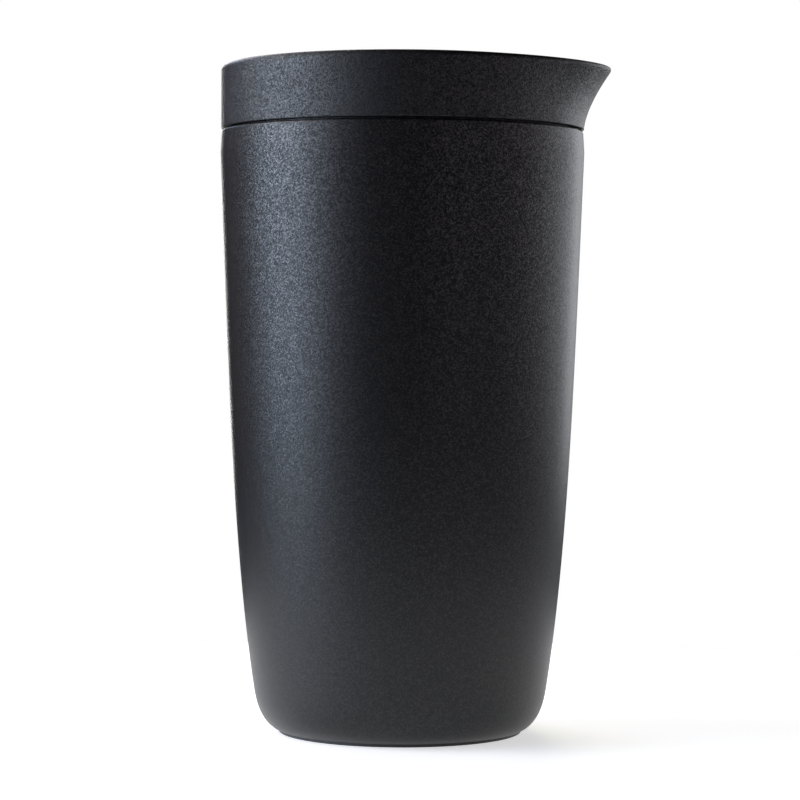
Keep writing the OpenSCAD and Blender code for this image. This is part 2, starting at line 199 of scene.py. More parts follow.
def turned(name, outline, steps=144, edge=0.0, crease=30):
    """Turns a closed outline of (radius, height) points, in millimetres, about the axis."""
    piece = traced(name, [(r, 0, z) for r, z in outline])
    bpy.ops.mesh.spin(steps=steps, angle=2 * math.pi, center=AXIS, axis=(0, 0, 1))
    bpy.ops.mesh.select_all(action="SELECT")
    bpy.ops.mesh.remove_doubles(threshold=2 * WELD)
    bpy.ops.mesh.delete_loose()
    bpy.ops.mesh.select_all(action="SELECT")
    bpy.ops.mesh.normals_make_consistent(inside=False)
    bpy.ops.object.mode_set(mode="OBJECT")
    if edge:
        bevel = piece.modifiers.new("softened_edges", "BEVEL")
        bevel.width = edge * MM
        bevel.segments = 3
        bevel.limit_method = "ANGLE"
        bevel.angle_limit = math.radians(40)
        bpy.ops.object.modifier_apply(modifier=bevel.name)
    bpy.ops.object.transform_apply(location=True, rotation=True, scale=True)
    bpy.ops.object.shade_smooth_by_angle(angle=math.radians(crease))
    return piece


def arc(x, z, radius, start, end, steps=8):
    """Points of an arc in a section, from one angle in degrees to another."""
    turns = [math.radians(start + (end - start) * i / steps) for i in range(steps + 1)]
    return [(x + radius * math.cos(t), z + radius * math.sin(t)) for t in turns]


def node(tree, kind, settings=None, values=None, links=None):
    """Adds a node with its settings, socket values and incoming links."""
    made = tree.nodes.new(kind)
    for key, value in (settings or {}).items():
        setattr(made, key, value)
    for key, value in (values or {}).items():
        made.inputs[key].default_value = value
    for key, source in (links or {}).items():
        tree.links.new(source, made.inputs[key])
    return made


def begin(name, colour, roughness, metallic=0.0, **sockets):
    """A material, its node tree, its shader, and the output that gives object space."""
    made, shader = finish(name, colour, roughness, metallic, **sockets)
    place = node(made.node_tree, "ShaderNodeTexCoord").outputs["Object"]
    return made, made.node_tree, shader, place


def maths(tree, operation, *terms, clamp=False):
    """The result of a maths node. Each term is a number or the output that feeds it."""
    made = node(tree, "ShaderNodeMath", {"operation": operation, "use_clamp": clamp})
    for socket, term in zip(made.inputs, terms):
        if isinstance(term, bpy.types.NodeSocket):
            tree.links.new(term, socket)
        else:
            socket.default_value = term
    return made.outputs["Value"]


def vectors(tree, operation, *terms, out="Vector"):
    """The result of a vector node. Each term is a vector or the output that feeds it."""
    made = node(tree, "ShaderNodeVectorMath", {"operation": operation})
    for socket, term in zip(made.inputs, terms):
        if isinstance(term, bpy.types.NodeSocket):
            tree.links.new(term, socket)
        else:
            socket.default_value = term
    return made.outputs[out]


def noise(tree, place, scale, detail=2.0, **settings):
    """A noise from 0 to 1 whose features are 1 / scale metres across."""
    values = {"Scale": scale, "Detail": detail, **settings}
    return node(tree, "ShaderNodeTexNoise", {}, values, {"Vector": place}).outputs["Fac"]


def ramp(tree, value, low, high, start=0.0, end=1.0):
    """Runs from low to high while a value runs from start to end."""
    values = {"From Min": start, "From Max": end, "To Min": low, "To Max": high}
    return node(tree, "ShaderNodeMapRange", {}, values, {"Value": value}).outputs["Result"]


def blend(tree, dark, light, share):
    """A colour between two, by a share from 0 to 1."""
    values = {"A": linear(dark), "B": linear(light)}
    made = node(tree, "ShaderNodeMix", {"data_type": "RGBA"}, values, {"Factor": share})
    return made.outputs[2]


def feed(tree, shader, **sources):
    """Links outputs to the shader's sockets."""
    for socket, source in sources.items():
        tree.links.new(source, shader.inputs[socket.replace("_", " ")])


def emboss(tree, shader, height, strength, depth, normal=None):
    """Bumps the shader by a height from 0 to 1, over a depth in millimetres."""
    links = {"Height": height, "Normal": normal} if normal else {"Height": height}
    values = {"Strength": strength, "Distance": depth * MM}
    bump = node(tree, "ShaderNodeBump", {}, values, links)
    tree.links.new(bump.outputs["Normal"], shader.inputs["Normal"])


shell_low, shell_top, shell_r = span("outer_shell")
SHEET = 0.6
mouth_r = span("inner_liner")[2] - SHEET
TAPER, BELLY, BELLY_POWER = 5.87, 5.35, 4.1
WIDEST = shell_top - 5.7
FOOT_HEIGHT, FOOT_FLAT, FOOT_LOW, FOOT_POWER = 12.6, 28.0, 0.14, 2.88
SHOULDER, ROLL, ROLL_POWER = 0.65, 0.3, 1.2
FOOT_STEPS, SIDE_STEPS, ROLL_STEPS = 28, 48, 6


def side_at(z):
    """Radius of the vessel's side at a height."""
    s = (WIDEST - z) / WIDEST
    return shell_r - TAPER * s - BELLY * s**BELLY_POWER


def foot_at(turn):
    """Point on the rounded foot, from 0 at the side to 90 under the vessel."""
    t = math.radians(turn)
    z = FOOT_LOW + (FOOT_HEIGHT - FOOT_LOW) * (1 - math.sin(t) ** (2 / FOOT_POWER))
    return (FOOT_FLAT + (side_at(z) - FOOT_FLAT) * math.cos(t) ** (2 / FOOT_POWER), z)


foot_end = math.degrees(
    math.asin(((FOOT_HEIGHT - shell_low) / (FOOT_HEIGHT - FOOT_LOW)) ** (FOOT_POWER / 2))
)
foot_curve = [foot_at(foot_end * i / FOOT_STEPS) for i in range(FOOT_STEPS, -1, -1)]
foot_r = foot_curve[0][0]
side_rise = (WIDEST - FOOT_HEIGHT) / SIDE_STEPS
side_heights = [FOOT_HEIGHT + side_rise * i for i in range(1, SIDE_STEPS + 1)]
side = [(side_at(z), z) for z in side_heights]
roll_rise = (shell_top - SHOULDER - WIDEST) / ROLL_STEPS
roll = [
    (shell_r - ROLL * (i / ROLL_STEPS) ** ROLL_POWER, WIDEST + roll_rise * i)
    for i in range(1, ROLL_STEPS)
]
shoulder = arc(shell_r - ROLL - SHOULDER, shell_top - SHOULDER, SHOULDER, 0, 90, 10)
outside = foot_curve + side + roll + shoulder
inside = [(r - SHEET, z) for r, z in reversed(side)] + [
    (foot_at(t)[0] - SHEET, foot_at(t)[1] + SHEET / 3) for t in (0, 12, 24, 36, 46, 54)
]
vessel_shell = turned(
    "vessel_shell",
    [(foot_r - 3, shell_low)]
    + outside
    + [(mouth_r + SHEET, shell_top), (mouth_r + SHEET, shell_top - SHEET)]
    + [(shell_r - ROLL - SHOULDER, shell_top - SHEET)]
    + [(shell_r - ROLL - SHEET, shell_top - SHEET - 0.1)]
    + inside
    + [(foot_r - 3, shell_low + SHEET)],
    steps=192,
)


def facets(tree, cells, lean):
    """The surface's direction, tipped its own way in each cell, by at most half of lean."""
    face = node(tree, "ShaderNodeNewGeometry").outputs["Normal"]
    spread = vectors(tree, "SUBTRACT", cells.outputs["Color"], (0.5, 0.5, 0.5))
    tip = vectors(tree, "MULTIPLY", spread, lean)
    return vectors(tree, "NORMALIZE", vectors(tree, "ADD", face, tip))


powder_coat, tree, shader, place = begin(
    "black_powder_coat", "#101113", 0.42, Specular_IOR_Level=0.93
)
# Baked polyester powder: grains about 0.3 mm across, each tipped a few degrees its own
# way and a little brighter or duller than the next, so that the sheen looks sandy. They
# fade towards the foot, a guess from the look alone, and the tone drifts over the wall.
GRAINS, SPARK_MEAN, GRAIN_LEAN = 3200.0, 1 / 3, 0.12
FLAT_BELOW, COARSE_ABOVE, FLATTEST = 30 * MM, 140 * MM, 0.25
grains = node(tree, "ShaderNodeTexVoronoi", {}, {"Scale": GRAINS}, {"Vector": place})
grain = node(tree, "ShaderNodeSeparateColor", links={"Color": grains.outputs["Color"]})
height = node(tree, "ShaderNodeSeparateXYZ", links={"Vector": place}).outputs["Z"]
coarseness = ramp(tree, height, FLATTEST, 1.0, FLAT_BELOW, COARSE_ABOVE)
spark = maths(tree, "POWER", grain.outputs["Red"], 2.0)
apart = maths(tree, "SUBTRACT", spark, SPARK_MEAN)
gleam = maths(tree, "MULTIPLY_ADD", apart, coarseness, SPARK_MEAN)
feed(
    tree,
    shader,
    Base_Color=blend(tree, "#0E0F11", "#121315", noise(tree, place, 60.0)),
    Specular_Tint=blend(tree, "#5A5A5A", "#FFFFFF", gleam),
    Roughness=ramp(tree, grain.outputs["Green"], 0.37, 0.45),
    Normal=facets(tree, grains, maths(tree, "MULTIPLY", coarseness, GRAIN_LEAN)),
)
wear(vessel_shell, powder_coat)
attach(vessel_shell, "vessel")
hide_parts("outer_shell")

# ---------------------------------------------------------------------------
# Inner wall of the vessel: drawn stainless steel, welded to the outer wall round
# the mouth. It is left bare and brushed in fine rings by the polishing wheel.
# ---------------------------------------------------------------------------
liner_low, liner_top, liner_r = span("inner_liner")
bore_r = span("mesh_screen")[2] + 0.05
FLOOR_CORNER = 5.0
floor_z = liner_low + SHEET
MOUTH_DEPTH, CONE_H = 14.0, 4.0
bore_top, cone_top = liner_top - MOUTH_DEPTH - CONE_H, liner_top - MOUTH_DEPTH
corner_x, corner_z = bore_r - FLOOR_CORNER, floor_z + FLOOR_CORNER
vessel_liner = turned(
    "vessel_liner",
    [(0, liner_low)]
    + arc(corner_x, corner_z, FLOOR_CORNER + SHEET, -90, 0)
    + [(bore_r + SHEET, bore_top), (liner_r, cone_top), (liner_r, liner_top - 0.2)]
    + arc(mouth_r + 0.25, liner_top - 0.25, 0.25, 90, 180, 4)
    + [(mouth_r, cone_top), (bore_r, bore_top)]
    + arc(corner_x, corner_z, FLOOR_CORNER, 0, -90)
    + [(0, floor_z)],
)


def brushed_in_rings(name, colour, roughness, rings):
    """Stainless steel with fine turned or brushed rings about the vessel's axis."""
    steel, tree, shader, place = begin(name, colour, roughness, 1.0)
    height = node(tree, "ShaderNodeSeparateXYZ", links={"Vector": place}).outputs["Z"]
    reach = vectors(tree, "LENGTH", vectors(tree, "MULTIPLY", place, (1, 1, 0)), out="Value")
    section = node(tree, "ShaderNodeCombineXYZ", links={"X": reach, "Z": height})
    lines = noise(tree, section.outputs["Vector"], rings, 3.0, Roughness=0.7)
    feed(tree, shader, Roughness=ramp(tree, lines, roughness - 0.08, roughness + 0.12))
    emboss(tree, shader, lines, 0.25, 0.05)
    return steel


# Brushing lines about half a millimetre apart: coarser than real, so that they show.
brushed_steel = brushed_in_rings("brushed_stainless_steel", "#C6C7C9", 0.28, 1800.0)
wear(vessel_liner, brushed_steel)
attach(vessel_liner, "vessel")
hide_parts("inner_liner")

# ---------------------------------------------------------------------------
# What closes the vacuum: the pressed base cup, the glass bead over its pump hole,
# and the getter pill. They are sealed inside, and their solids are kept as they are.
# ---------------------------------------------------------------------------
pressed_steel = brushed_in_rings("pressed_stainless_steel", "#B4B5B7", 0.36, 1200.0)
wear(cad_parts["base_cup"], pressed_steel)

# Cloudy grey-green glass, with patches about a millimetre across.
seal_glass, tree, shader, place = begin("solder_glass", "#5A6650", 0.18)
feed(tree, shader, Base_Color=blend(tree, "#4C5744", "#68755C", noise(tree, place, 900.0)))
wear(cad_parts["vacuum_bead"], seal_glass)

# Dull pressed metal powder, with grains about 0.4 mm across.
getter_metal, tree, shader, place = begin("getter_powder_in_a_ring", "#77787A", 0.6, 0.8)
emboss(tree, shader, noise(tree, place, 2500.0), 0.5, 0.1)
wear(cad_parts["getter"], getter_metal)

# ---------------------------------------------------------------------------
# Foot pad: a moulded silicone disc glued under the vessel. It stands a little
# proud of the steel, and a shallow ring groove lets it grip the table.
# ---------------------------------------------------------------------------
pad_top, pad_r = span("foot_pad")[1:]
GROOVE_R, GROOVE_W, GROOVE_DEEP = 24.0, 1.6, 0.4
seat_r = foot_r - 3.15
foot_pad = turned(
    "silicone_foot",
    [(0, 0), (GROOVE_R - GROOVE_W, 0), (GROOVE_R - GROOVE_W + 0.15, GROOVE_DEEP)]
    + [(GROOVE_R - 0.15, GROOVE_DEEP), (GROOVE_R, 0)]
    + arc(pad_r - 0.3, 0.3, 0.3, -90, 0, 4)
    + [(pad_r, shell_low), (seat_r, shell_low), (seat_r, pad_top), (0, pad_top)],
)
# Matt rubber with a soft bloom at its edges and a faint skin, finer than a millimetre.
silicone, tree, shader, place = begin(
    "black_silicone", "#17181A", 0.62, Sheen_Weight=0.15, Sheen_Roughness=0.5
)
emboss(tree, shader, noise(tree, place, 1600.0), 0.15, 0.05)
wear(foot_pad, silicone)
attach(foot_pad, "vessel")
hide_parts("foot_pad")

# ---------------------------------------------------------------------------
# Collar of the lid: an injection-moulded black ring, flared at one side into a
# pouring beak. It is moulded with a fine leather-like grain all over.
# ---------------------------------------------------------------------------
SEAM, SEAT_GAP, DECK_T = 0.45, 0.1, 1.8
WALL, LEDGE, SKIRT, RIM, LOWER_EDGE = 3.0, 2.6, 2.4, 1.4, 0.2
BEAK_REACH, BEAK_SPREAD, BEAK_ROUND, BEAK_POWER, FLARE_POWER = 7.8, 65.0, 0.27, 2.0, 1.55
OUTER_STEPS, INNER_STEPS = 20, 16
collar_top, collar_r = span("lid_collar")[1], -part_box("lid_collar")[0][0] / MM
collar_low, seat_z = shell_top + SEAM, shell_top + SEAT_GAP
deck_low, deck_r = span("lid_plug")[1], span("lid_deck")[2]
deck_top = deck_low + DECK_T
collar_in = collar_r - WALL
top_z, edge_z = collar_top - RIM, collar_low + LOWER_EDGE
outer_rise = [
    (collar_r, edge_z + i * (top_z - edge_z) / OUTER_STEPS) for i in range(1, OUTER_STEPS)
]
inner_fall = [
    (collar_in, top_z - i * (top_z - deck_top) / INNER_STEPS) for i in range(1, INNER_STEPS + 1)
]
lid_collar = turned(
    "lid_collar_ring",
    [(collar_r - SKIRT, collar_low)]
    + arc(collar_r - LOWER_EDGE, edge_z, LOWER_EDGE, -90, 0, 5)
    + outer_rise
    + arc(collar_r - RIM, top_z, RIM, 0, 90, 9)
    + arc(collar_in + RIM, top_z, RIM, 90, 180, 9)
    + inner_fall
    + [(collar_in, deck_low), (collar_in - LEDGE, deck_low), (collar_in - LEDGE, seat_z)]
    + [(collar_r - SKIRT, seat_z)],
    steps=240,
)


def beak_share(angle):
    """How much of the beak there is at an angle in degrees from its tip."""
    u = min(1.0, abs(angle) / BEAK_SPREAD)
    far, here = math.hypot(1, BEAK_ROUND), math.hypot(u, BEAK_ROUND)
    return max(0.0, (far - here) / (far - BEAK_ROUND)) ** BEAK_POWER


# The beak is drawn out of the turned ring: every point of the wall above the foot
# of the flare moves outwards, the more the nearer it is to the tip and to the rim.
for vertex in lid_collar.data.vertices:
    x, y, z = vertex.co / MM
    radius = math.hypot(x, y)
    foot_of_flare = collar_low if radius > collar_in + WALL / 2 else deck_top
    height = max(0.0, min(1.0, (z - foot_of_flare) / (collar_top - foot_of_flare)))
    push = BEAK_REACH * height**FLARE_POWER * beak_share(math.degrees(math.atan2(y, x)))
    vertex.co = Vector((x * (radius + push) / radius, y * (radius + push) / radius, z)) * MM
lid_collar.data.update()

black_moulding, tree, shader, place = begin(
    "black_grained_polypropylene", "#0F1114", 0.44, Specular_IOR_Level=0.98
)
# Leather-like mould grain: short wrinkles about half a millimetre apart, where a noise
# crosses its middle value, are pressed in, with a fine grit over all.
WRINKLES, WRINKLE_WIDTH, GRIT, GRIT_LEAN = 1700.0, 0.09, 2900.0, 0.16
wander = noise(tree, place, WRINKLES, Roughness=0.55, Distortion=0.4)
away = maths(tree, "ABSOLUTE", maths(tree, "SUBTRACT", wander, 0.5))
wrinkle = node(
    tree, "ShaderNodeMapRange", {"interpolation_type": "SMOOTHSTEP"},
    {"From Min": 0.0, "From Max": WRINKLE_WIDTH}, {"Value": away},
).outputs["Result"]
grit = node(tree, "ShaderNodeTexVoronoi", {}, {"Scale": GRIT}, {"Vector": place})
speck = node(tree, "ShaderNodeSeparateColor", links={"Color": grit.outputs["Color"]})
spark = maths(tree, "POWER", speck.outputs["Red"], 2.0)
dots = maths(tree, "MULTIPLY", spark, 0.55)
grit_and_wrinkle_shade = maths(tree, "MULTIPLY_ADD", wrinkle, 0.45, dots, clamp=True)
# Painted shade: the sheen's tint is darkest along the wrinkles' creases, and also varies at random
# from speck to speck of the grit.
feed(tree, shader, Specular_Tint=blend(tree, "#303030", "#FFFFFF", grit_and_wrinkle_shade))
emboss(tree, shader, wrinkle, 0.6, 0.05, facets(tree, grit, (GRIT_LEAN,) * 3))
wear(lid_collar, black_moulding)
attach(lid_collar, "lid")
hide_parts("lid_collar")

# ---------------------------------------------------------------------------
# Deck of the lid: a moulded disc snapped into the collar, with the boss that the
# rod slides in and a curved pouring slot behind the beak.
# ---------------------------------------------------------------------------
boss_low, boss_top = span("lid_deck")[:2]
cap_r = span("bush_cap")[2]
boss_r = cap_r - 1
rod_r = span("rod")[2]
pocket_r = span("rod_bush")[2] + 0.05
pocket_z = span("rod_wiper")[0] - 0.1
plug_low, plug_top, plug_r = span("lid_plug")
hole_r = rod_r + 0.7
FILLET = 1.0
lid_deck = turned(
    "lid_deck_disc",
    [(hole_r, boss_low), (boss_r - 0.3, boss_low), (boss_r, boss_low + 0.3)]
    + [(boss_r, deck_low), (deck_r, deck_low), (deck_r, deck_top)]
    + arc(boss_r + FILLET, deck_top + FILLET, FILLET, -90, -180, 5)
    + [(boss_r, boss_top), (pocket_r, boss_top), (pocket_r, pocket_z), (hole_r, pocket_z)],
)

SLOT_W, SLOT_SPREAD, STRAINER_LAP, STRAINER_T = 8.0, 20.0, 1.05, 0.5
PLUG_WALL, DUCT_WALL, PLUG_FLOOR = 4.3, 1.5, 1.8
slot_r = plug_r - PLUG_WALL - 0.6 - SLOT_W / 2


def drawn(name, outline, low, high):
    """Draws a closed outline of (x, y) points in plan, fills it and raises it to a block."""
    block = traced(name, [(x, y, low) for x, y in outline])
    bpy.ops.mesh.edge_face_add()
    bpy.ops.mesh.select_all(action="SELECT")
    raised = (0, 0, (high - low) * MM)
    bpy.ops.mesh.extrude_region_move(TRANSFORM_OT_translate={"value": raised})
    bpy.ops.mesh.select_all(action="SELECT")
    bpy.ops.mesh.normals_make_consistent(inside=False)
    bpy.ops.object.mode_set(mode="OBJECT")
    bpy.ops.object.transform_apply(location=True, rotation=True, scale=True)
    return block


def slot_block(half_width, low, high):
    """A block in the shape of the curved pouring slot, with round ends."""
    spread = SLOT_SPREAD
    end_x, end_y = slot_r * math.cos(math.radians(spread)), slot_r * math.sin(math.radians(spread))
    outer = arc(0, 0, slot_r + half_width, -spread, spread, 24)
    far_end = arc(end_x, end_y, half_width, spread + 15, spread + 165, 10)
    inner = arc(0, 0, slot_r - half_width, spread, -spread, 24)
    near_end = arc(end_x, -end_y, -half_width, 15 - spread, 165 - spread, 10)
    return drawn("slot_block", outer + far_end + inner + near_end, low, high)


def settle(piece):
    """Shades a piece smooth but for its corners, and keeps its flat faces even."""
    bpy.ops.object.shade_smooth_by_angle(angle=math.radians(30))
    even = piece.modifiers.new("even_normals", "WEIGHTED_NORMAL")
    even.keep_sharp = True
    bpy.ops.object.modifier_apply(modifier=even.name)


def combine(piece, block, way="DIFFERENCE", edge=0.0):
    """Cuts a block out of a piece, or adds it on, then rounds the new edges a little."""
    bpy.ops.object.select_all(action="DESELECT")
    bpy.context.view_layer.objects.active = piece
    piece.select_set(True)
    cut = piece.modifiers.new("cut", "BOOLEAN")
    cut.operation = way
    cut.solver = "EXACT"
    cut.object = block
    bpy.ops.object.modifier_apply(modifier=cut.name)
    bpy.data.objects.remove(block, do_unlink=True)
    if edge:
        bevel = piece.modifiers.new("softened_edges", "BEVEL")
        bevel.width = edge * MM
        bevel.segments = 2
        bevel.limit_method = "ANGLE"
        bevel.angle_limit = math.radians(50)
        bpy.ops.object.modifier_apply(modifier=bevel.name)
    settle(piece)


combine(lid_deck, slot_block(SLOT_W / 2, deck_low - 1, deck_top + 1))
strainer_seat = slot_block(SLOT_W / 2 + STRAINER_LAP, deck_top - STRAINER_T, deck_top + 1)
combine(lid_deck, strainer_seat, edge=0.12)

satin_moulding, tree, shader, place = begin("black_satin_polypropylene", "#151618", 0.44)
# Fine spark-eroded mould texture, drawn about 0.4 mm across so that it still shows.
erosion = noise(tree, place, 2400.0, Roughness=0.65)
feed(tree, shader, Roughness=ramp(tree, erosion, 0.38, 0.52))
emboss(tree, shader, erosion, 0.5, 0.06)
wear(lid_deck, satin_moulding)
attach(lid_deck, "lid")
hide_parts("lid_deck")

# The punched strainer that closes the slot is bright pressed steel, kept as it is.
wear(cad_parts["pour_strainer"], pressed_steel)

# ---------------------------------------------------------------------------
# Plug of the lid: a moulded cup pressed down into the mouth. It has a groove for
# the seal, a tube that guides the rod, and a duct under the pouring slot.
# ---------------------------------------------------------------------------
gasket_low, gasket_top, gasket_r = span("lid_gasket")
groove_low, groove_top = gasket_low - 0.1, gasket_top + 0.1
groove_r = plug_r - 2.3
plug_in, plug_floor = plug_r - PLUG_WALL, plug_low + PLUG_FLOOR
plug_end, boss_end = plug_top - 0.05, boss_low - 0.05
CHAMFER = 1.5
lid_plug = turned(
    "lid_plug_cup",
    [(hole_r, plug_low), (plug_r - CHAMFER, plug_low), (plug_r, plug_low + CHAMFER)]
    + [(plug_r, groove_low), (groove_r, groove_low), (groove_r, groove_top)]
    + [(plug_r, groove_top), (plug_r, plug_end), (plug_in, plug_end), (plug_in, plug_floor)]
    + [(boss_r, plug_floor), (boss_r, boss_end), (hole_r, boss_end)],
    edge=0.15,
)
combine(lid_plug, slot_block(SLOT_W / 2 + DUCT_WALL, plug_floor - 1, plug_top - 0.1), "UNION")
combine(lid_plug, slot_block(SLOT_W / 2, plug_low - 1, plug_top + 1))
wear(lid_plug, satin_moulding)
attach(lid_plug, "lid")
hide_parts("lid_plug")

# ---------------------------------------------------------------------------
# Seal of the lid: a moulded silicone ring stretched into the plug's groove. Two
# thin lips rise outwards and bear on the wall of the mouth.
# ---------------------------------------------------------------------------
LIP_T, LIP_RISE = 0.9, 0.5
seal_r = plug_r - 0.6
seal_outline = [(groove_r + 0.05, gasket_low), (seal_r, gasket_low)]
for lip_z in (gasket_low + 0.7, gasket_low + 3.2):
    seal_outline += [(seal_r, lip_z), (gasket_r - 0.15, lip_z + LIP_RISE - 0.05)]
    seal_outline += [(gasket_r, lip_z + LIP_RISE + 0.15), (gasket_r, lip_z + LIP_T - 0.1)]
    seal_outline += [(gasket_r - 0.12, lip_z + LIP_T), (seal_r, lip_z + LIP_T)]
seal_outline += [(seal_r, gasket_top), (groove_r + 0.05, gasket_top)]
lid_seal = turned("lid_seal", seal_outline)
wear(lid_seal, silicone)
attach(lid_seal, "seal")
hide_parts("lid_gasket")

# ---------------------------------------------------------------------------
# Bush cap: a moulded ring snapped over the boss. Under it are an acetal bush and a
# silicone wiper, which turn with the rod. Their plain solids are kept.
# ---------------------------------------------------------------------------
cap_top = span("bush_cap")[1]
CAP_SKIRT = 1.4
bush_cap = turned(
    "bush_cap_ring",
    [(hole_r, boss_top), (boss_r + 0.05, boss_top), (boss_r + 0.05, boss_top - CAP_SKIRT)]
    + [(cap_r - 0.1, boss_top - CAP_SKIRT), (cap_r, boss_top - CAP_SKIRT + 0.1)]
    + arc(cap_r - 0.4, cap_top - 0.4, 0.4, 0, 90, 6)
    + arc(hole_r + 0.2, cap_top - 0.2, 0.2, 90, 180, 4),
    steps=96,
)
wear(bush_cap, satin_moulding)
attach(bush_cap, "lid")
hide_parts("bush_cap")

# Waxy off-white plastic that lets a little light in, with faint turning blotches.
acetal, tree, shader, place = begin("natural_acetal", "#E2E0D6", 0.35, Subsurface_Weight=0.08)
feed(tree, shader, Roughness=ramp(tree, noise(tree, place, 1500.0), 0.28, 0.45))
wear(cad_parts["rod_bush"], acetal)
wear(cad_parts["rod_wiper"], silicone)

# ---------------------------------------------------------------------------
# Knob of the plunger: a moulded waisted body with a separate cap pressed in on a
# spigot. Its brass insert, which the rod screws into, keeps its plain solid.
# ---------------------------------------------------------------------------
knob_low, knob_split = span("knob_body")[:2]
knob_top, knob_r = span("knob_cap")[1:]
insert_low, insert_r = span("knob_insert")[::2]
KNOB_FOOT_IN, KNOB_WAIST_IN, SPIGOT_IN, SPIGOT_H, CROWN = 5.5, 7.5, 8.5, 1.0, 0.5
knob_foot, knob_waist = knob_r - KNOB_FOOT_IN, knob_r - KNOB_WAIST_IN
spigot_r, spigot_low = knob_r - SPIGOT_IN, knob_split - SPIGOT_H
recess_r, recess_top = cap_r + 1.2, insert_low - 0.2
waist_z = knob_low + (knob_split - knob_low) * 0.42
flare_in, flare_out = [], []
for i in range(13):
    t = math.radians(i * 7.5)
    flare_in.append((
        knob_waist + (knob_foot - knob_waist) * (1 - math.sin(t)),
        knob_low + 0.8 + (waist_z - knob_low - 0.8) * (1 - math.cos(t)),
    ))
for i in range(1, 17):
    t = math.radians(i * 90 / 16)
    flare_out.append((
        knob_waist + (knob_r - 0.8 - knob_waist) * (1 - math.cos(t)),
        waist_z + (knob_split - 0.6 - waist_z) * math.sin(t),
    ))
knob_body = turned(
    "knob_waist",
    [(recess_r, knob_low)]
    + arc(knob_foot - 0.4, knob_low + 0.4, 0.4, -90, 0, 5)
    + flare_in
    + flare_out
    + [(knob_r - 0.5, knob_split), (spigot_r, knob_split), (spigot_r, spigot_low)]
    + [(insert_r, spigot_low), (insert_r, recess_top), (recess_r, recess_top)],
)
knob_cap = turned(
    "knob_top",
    [(0, spigot_low), (spigot_r - 0.05, spigot_low), (spigot_r - 0.05, knob_split)]
    + [(knob_r - 0.3, knob_split), (knob_r, knob_split + 0.3)]
    + arc(knob_r - 1, knob_top - CROWN - 1, 1.0, 0, 80, 8)
    + [(knob_r * u, knob_top - CROWN * u * u) for u in (0.93 * i / 12 for i in range(12, -1, -1))],
)
for piece, solid in ((knob_body, "knob_body"), (knob_cap, "knob_cap")):
    wear(piece, satin_moulding)
    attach(piece, "plunger")
    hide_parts(solid)

# Yellow brass with turning marks along the axis, a few tenths of a millimetre apart.
brass, tree, shader, place = begin("turned_brass", "#B8924A", 0.3, 1.0)
lathe = node(
    tree, "ShaderNodeTexWave", {"bands_direction": "Z"}, {"Scale": 900.0, "Distortion": 0.6},
    {"Vector": place},
)
emboss(tree, shader, lathe.outputs["Fac"], 0.3, 0.05)
wear(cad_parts["knob_insert"], brass)

# ---------------------------------------------------------------------------
# Rod of the plunger: centreless-ground stainless bar, screwed into the knob above
# and the hub nut below. A pressed-on collar stops it under the lid.
# ---------------------------------------------------------------------------
rod_low, rod_top = span("rod")[:2]
TIP = 0.5
rod = turned(
    "rod_bar",
    [(0, rod_low)]
    + arc(rod_r - TIP, rod_low + TIP, TIP, -90, 0, 5)
    + [(rod_r, rod_low + (rod_top - rod_low) * i / 12) for i in range(1, 12)]
    + arc(rod_r - TIP, rod_top - TIP, TIP, 0, 90, 5)
    + [(0, rod_top)],
    steps=48,
)
ground_steel = brushed_in_rings("ground_stainless_steel", "#CDCED0", 0.16, 2600.0)
wear(rod, ground_steel)
stop_low, stop_top, stop_r = span("rod_stop")
rod_stop = turned(
    "rod_stop_collar",
    [(rod_r, stop_low), (stop_r - 0.1, stop_low), (stop_r, stop_low + 0.1)]
    + arc(stop_r - 0.8, stop_top - 0.8, 0.8, 0, 90, 6)
    + [(rod_r, stop_top)],
    steps=64,
)
wear(rod_stop, pressed_steel)
for piece, solid in ((rod, "rod"), (rod_stop, "rod_stop")):
    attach(piece, "plunger")
    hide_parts(solid)

# ---------------------------------------------------------------------------
# Filter plates: two pressed stainless discs, punched with rings of holes. The
# upper one has a raised brim over the coil, the lower one a turned-down lip.
# ---------------------------------------------------------------------------
plate_low, brim_top, brim_r = span("spring_plate")
coil_low, coil_top = span("edge_spring")[:2]
PLATE_T = 0.6
brim_low = brim_top - PLATE_T
brim_in = span("mesh_screen")[2] - 0.25 - (coil_top - coil_low) - 0.1
lower_low, lower_top, lower_r = span("cross_plate")
LIP_H = 1.4
lower_t = PLATE_T + 0.2
lower_base = lower_top - lower_t


def punched(piece, rings, low, high):
    """Punches rings of round holes, each given as a count, a ring radius and a hole radius."""
    for count, ring_r, punch_r in rings:
        bpy.ops.object.select_all(action="DESELECT")
        bpy.ops.mesh.primitive_cylinder_add(
            vertices=32,
            radius=punch_r * MM,
            depth=(high - low) * MM,
            location=(ring_r * MM, 0, (low + high) / 2 * MM),
        )
        punches = bpy.context.object
        bpy.ops.object.transform_apply(location=True, rotation=True, scale=True)
        bpy.ops.object.mode_set(mode="EDIT")
        bpy.ops.mesh.select_all(action="SELECT")
        turn = 2 * math.pi / count
        for _ in range(count - 1):
            bpy.ops.mesh.duplicate()
            bpy.ops.transform.rotate(value=turn, orient_axis="Z", center_override=AXIS)
        bpy.ops.object.mode_set(mode="OBJECT")
        combine(piece, punches)


